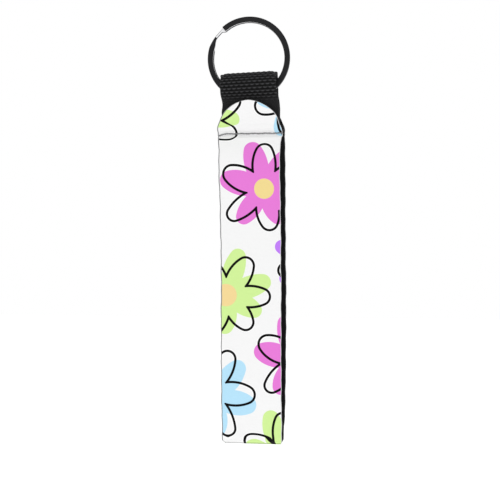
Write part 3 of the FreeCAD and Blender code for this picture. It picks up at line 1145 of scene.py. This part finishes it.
def tongues(total, shared):
    """The strap's two ends, above the seam."""
    for side, name in ((-1, "front"), (1, "back")):
        part = tongue_stations(side)
        if side == 1:
            part = [(*s[:ALONG], total - s[ALONG]) for s in part]
        materials = ply_materials(name + "_tongue", part, total / 2, *shared)
        for ply in PLY_DEPTHS:
            piece = ply_piece(name + "_tongue_ply_" + ply, ply, part, TONGUE_LEAN, materials[ply])
            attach(piece, "seam")
            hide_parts(name + "_tongue_" + PLY_NODES[ply])


def strap(edge, foam, lining):
    """The whole strap, which is as long between its stitches as its end stations say together."""
    stations = loop_stations()
    total = stations[-1][ALONG] + stations[0][ALONG]
    shared = (edge, foam, lining)
    loop(stations, total / 2, shared)
    tongues(total, shared)


# --- Threads ---


def tube(name, points, radii, material):
    """A round thread through points, its ends closed with flat caps."""
    points = [Vector(p) for p in points]
    rings = []
    for i, point in enumerate(points):
        ahead = (points[min(i + 1, len(points) - 1)] - points[max(i - 1, 0)]).normalized()
        side = ahead.cross(Vector((0, 1, 0))).normalized()
        up = side.cross(ahead)
        ring = []
        for k in range(THREAD_SIDES):
            turn = 2 * math.pi * k / THREAD_SIDES
            ring.append(tuple(point + (side * math.cos(turn) + up * math.sin(turn)) * radii[i]))
        rings.append(ring)
    return sweep(name, rings, [material])


def hairs(x, material):
    """Frayed thread ends that stand out at the row's right end."""
    pieces = []
    for _ in range(HAIRS):
        z = STITCH_Z + random.uniform(0.0, HAIR_UP)
        reach = random.uniform(*HAIR_REACH)
        points = []
        for share in HAIR_SHARES:
            y = HAIR_Y + random.uniform(-HAIR_STRAY, HAIR_STRAY)
            points.append((x + reach * share, y, z + random.uniform(*HAIR_CURL) * share))
        pieces.append(tube("hair", points, HAIR_RADII, material))
    return pieces


def stitch_row(side, material):
    """A lock-stitched row: raised stitches that dip into the laminate between them, wandering a little."""
    half = THREAD_HIGH.x + ROW_PAST
    points, radii = [], []
    for i in range(ROW_STEPS + 1):
        share = i / ROW_STEPS
        x = -half + 2 * half * share
        raised = abs(math.sin(math.pi * STITCHES * share))**STITCH_POWER
        sink = ROW_SINK * float(smooth((-x - half + SINK_FROM) / SINK_OVER))
        y = side * (-SEAM_Y + ROW_LIFT + STITCH_LIFT * raised)
        points.append((x + lean(STITCH_Z, LEAN), y, STITCH_Z + waves(x, ROW_WAVES) - sink))
        radii.append(THREAD_R + THREAD_SWELL * raised)
    name = "needle_thread" if side < 0 else "bobbin_thread"
    row = tube(name, points, radii, material)
    if side < 0:
        row = joined(name, [row, *hairs(half - HAIR_IN + lean(STITCH_Z, LEAN), material)])
    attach(row, "seam")
    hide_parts("seam_" + name)


# --- Setting ---


def camera():
    turn = math.radians(CAMERA_TURN)
    data = bpy.data.cameras.new("camera")
    data.lens = CAMERA_LENS
    data.sensor_width = CAMERA_SENSOR
    eye = bpy.data.objects.new("camera", data)
    x = CAMERA_RIGHT * math.cos(turn) + CAMERA_AWAY * math.sin(turn)
    y = CAMERA_RIGHT * math.sin(turn) - CAMERA_AWAY * math.cos(turn)
    eye.location = (x * MM, y * MM, CAMERA_Z * MM)
    eye.rotation_euler = (math.pi / 2, 0, turn)
    bpy.context.scene.collection.objects.link(eye)
    bpy.context.scene.camera = eye


def area_light(name, place, aim, size, power):
    data = bpy.data.lights.new(name, "AREA")
    data.size = size
    data.energy = power
    lamp = bpy.data.objects.new(name, data)
    lamp.location = place
    lamp.rotation_euler = (Vector(aim) - Vector(place)).to_track_quat("-Z", "Y").to_euler()
    bpy.context.scene.collection.objects.link(lamp)


def setting():
    world = bpy.data.worlds.new("studio")
    world.use_nodes = True
    sky = world.node_tree.nodes["Background"]
    sky.inputs["Color"].default_value = (1, 1, 1, 1)
    sky.inputs["Strength"].default_value = 1.0
    bpy.context.scene.world = world
    bpy.context.scene.view_settings.view_transform = "Standard"
    area_light("key", KEY_PLACE, KEY_AIM, KEY_SIZE, KEY_POWER)
    floor_z = CAD_BOX[0].z - FLOOR_DROP
    mesh = bpy.data.meshes.new("floor")
    signs = ((-1, -1), (1, -1), (1, 1), (-1, 1))
    corners = [(x * FLOOR_HALF, y * FLOOR_HALF, floor_z) for x, y in signs]
    mesh.from_pydata(corners, [], [(0, 1, 2, 3)])
    material, tree, shader = new_material("pale_floor", roughness=0.9)
    grain = noise(tree, object_place(tree), scale=40.0)
    tint(tree, shader, grain, (0.86, 0.86, 0.86, 1), (0.9, 0.9, 0.9, 1))
    shader.inputs["Emission Color"].default_value = (1, 1, 1, 1)
    shader.inputs["Emission Strength"].default_value = FLOOR_GLOW
    mesh.materials.append(material)
    floor = bpy.data.objects.new("floor", mesh)
    bpy.context.scene.collection.objects.link(floor)


split_ring(ring_black_material(), ring_bright_material())
webbing_tab(webbing_material())
strap(edge_material(), foam_material(), lining_material())
THREAD = thread_material()
stitch_row(-1, THREAD)
stitch_row(1, THREAD)
camera()
setting()
